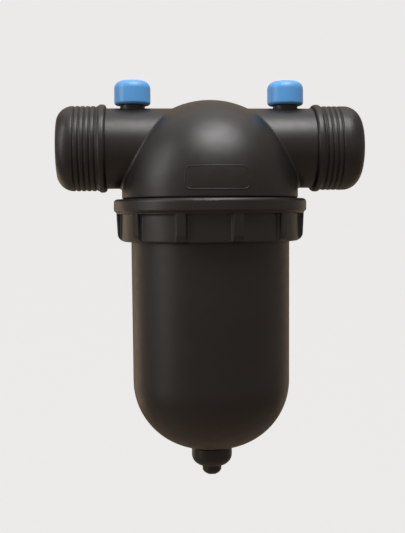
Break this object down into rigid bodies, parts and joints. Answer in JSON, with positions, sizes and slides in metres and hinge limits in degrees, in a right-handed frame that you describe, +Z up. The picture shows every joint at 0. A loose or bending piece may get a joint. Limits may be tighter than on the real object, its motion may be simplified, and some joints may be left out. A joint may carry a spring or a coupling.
{
  "type": "irrigation disc filter",
  "caption": "In-line irrigation filter with male threaded pipe ends, a domed head, a ring nut, a hanging bowl with a drain, test point caps and a removable cartridge of stacked discs.",
  "frame": {"origin": "centre of the inlet's end face, on the pipe axis", "axes": "+X along the flow from inlet to outlet, +Z up, so the bowl hangs along -Z"},
  "size_m": [0.213, 0.1362, 0.2802],
  "materials": {
    "black_plastic": "satin moulded black plastic",
    "blue_plastic": "satin light blue moulded plastic",
    "disc_plastic": "red moulded discs with fine grooves",
    "spine_plastic": "dark grey moulded plastic",
    "rubber": "black nitrile rubber",
    "spring_steel": "stainless spring steel"
  },
  "bodies": {
    "root": {"head": "black_plastic"},
    "bowl": {"bowl": "black_plastic", "bowl_seal": "rubber"},
    "ring_nut": {"ring_nut": "black_plastic"},
    "cartridge": {"cartridge_spine": "spine_plastic", "spigot_seal": "rubber", "pressure_plate": "spine_plastic", "clamp_spring": "spring_steel", "disc_01": "disc_plastic", "disc_02": "disc_plastic", "disc_03": "disc_plastic", "disc_04": "disc_plastic", "disc_05": "disc_plastic", "disc_06": "disc_plastic", "disc_07": "disc_plastic", "disc_08": "disc_plastic", "disc_09": "disc_plastic", "disc_10": "disc_plastic", "disc_11": "disc_plastic", "disc_12": "disc_plastic", "disc_13": "disc_plastic", "disc_14": "disc_plastic", "disc_15": "disc_plastic", "disc_16": "disc_plastic", "disc_17": "disc_plastic", "disc_18": "disc_plastic", "disc_19": "disc_plastic", "disc_20": "disc_plastic", "disc_21": "disc_plastic", "disc_22": "disc_plastic", "disc_23": "disc_plastic", "disc_24": "disc_plastic", "disc_25": "disc_plastic", "disc_26": "disc_plastic", "disc_27": "disc_plastic", "disc_28": "disc_plastic", "disc_29": "disc_plastic", "disc_30": "disc_plastic"},
    "spring_washer": {"spring_washer": "spring_steel"},
    "clamp_knob": {"clamp_knob": "spine_plastic"},
    "drain_seal": {"drain_seal": "rubber"},
    "drain_cap": {"drain_cap": "black_plastic"},
    "inlet_cap_seal": {"inlet_cap_seal": "rubber"},
    "inlet_cap": {"inlet_cap": "blue_plastic"},
    "outlet_cap_seal": {"outlet_cap_seal": "rubber"},
    "outlet_cap": {"outlet_cap": "blue_plastic"}
  },
  "joints": [
    {"name": "bowl_drop", "type": "slide", "parent": "root", "child": "bowl", "axis": [0, 0, -1], "range_m": [0, 0.2]},
    {"name": "nut_turn", "type": "hinge", "parent": "bowl", "child": "ring_nut", "pos_m": [0.1065, 0, -0.05], "axis": [0, 0, -1], "continuous": true},
    {"name": "cartridge_pull", "type": "slide", "parent": "root", "child": "cartridge", "axis": [0, 0, -1], "range_m": [0, 0.018]},
    {"name": "spring_release", "type": "slide", "parent": "cartridge", "child": "spring_washer", "axis": [0, 0, -1], "range_m": [0, 0.0091], "deforming": ["clamp_spring"]},
    {"name": "clamp_knob_turn", "type": "hinge", "parent": "spring_washer", "child": "clamp_knob", "pos_m": [0.1065, 0, -0.165], "axis": [0, 0, -1], "range_deg": [0, 1080]},
    {"name": "drain_cap_drop", "type": "slide", "parent": "bowl", "child": "drain_seal", "axis": [0, 0, -1], "range_m": [0, 0.0076]},
    {"name": "drain_cap_turn", "type": "hinge", "parent": "drain_seal", "child": "drain_cap", "pos_m": [0.1065, 0, -0.22], "axis": [0, 0, -1], "range_deg": [0, 900]},
    {"name": "inlet_cap_lift", "type": "slide", "parent": "root", "child": "inlet_cap_seal", "axis": [0, 0, 1], "range_m": [0, 0.0121]},
    {"name": "inlet_cap_turn", "type": "hinge", "parent": "inlet_cap_seal", "child": "inlet_cap", "pos_m": [0.0522, 0, 0.04], "axis": [0, 0, 1], "range_deg": [0, 1440]},
    {"name": "outlet_cap_lift", "type": "slide", "parent": "root", "child": "outlet_cap_seal", "axis": [0, 0, 1], "range_m": [0, 0.0121]},
    {"name": "outlet_cap_turn", "type": "hinge", "parent": "outlet_cap_seal", "child": "outlet_cap", "pos_m": [0.1608, 0, 0.04], "axis": [0, 0, 1], "range_deg": [0, 1440]}
  ],
  "couplings": [
    {"joint": "spring_release", "follows": "clamp_knob_turn", "m_per_rad": 0.00047746},
    {"joint": "drain_cap_drop", "follows": "drain_cap_turn", "m_per_rad": 0.00047746},
    {"joint": "inlet_cap_lift", "follows": "inlet_cap_turn", "m_per_rad": 0.00047746},
    {"joint": "outlet_cap_lift", "follows": "outlet_cap_turn", "m_per_rad": 0.00047746}
  ]
}
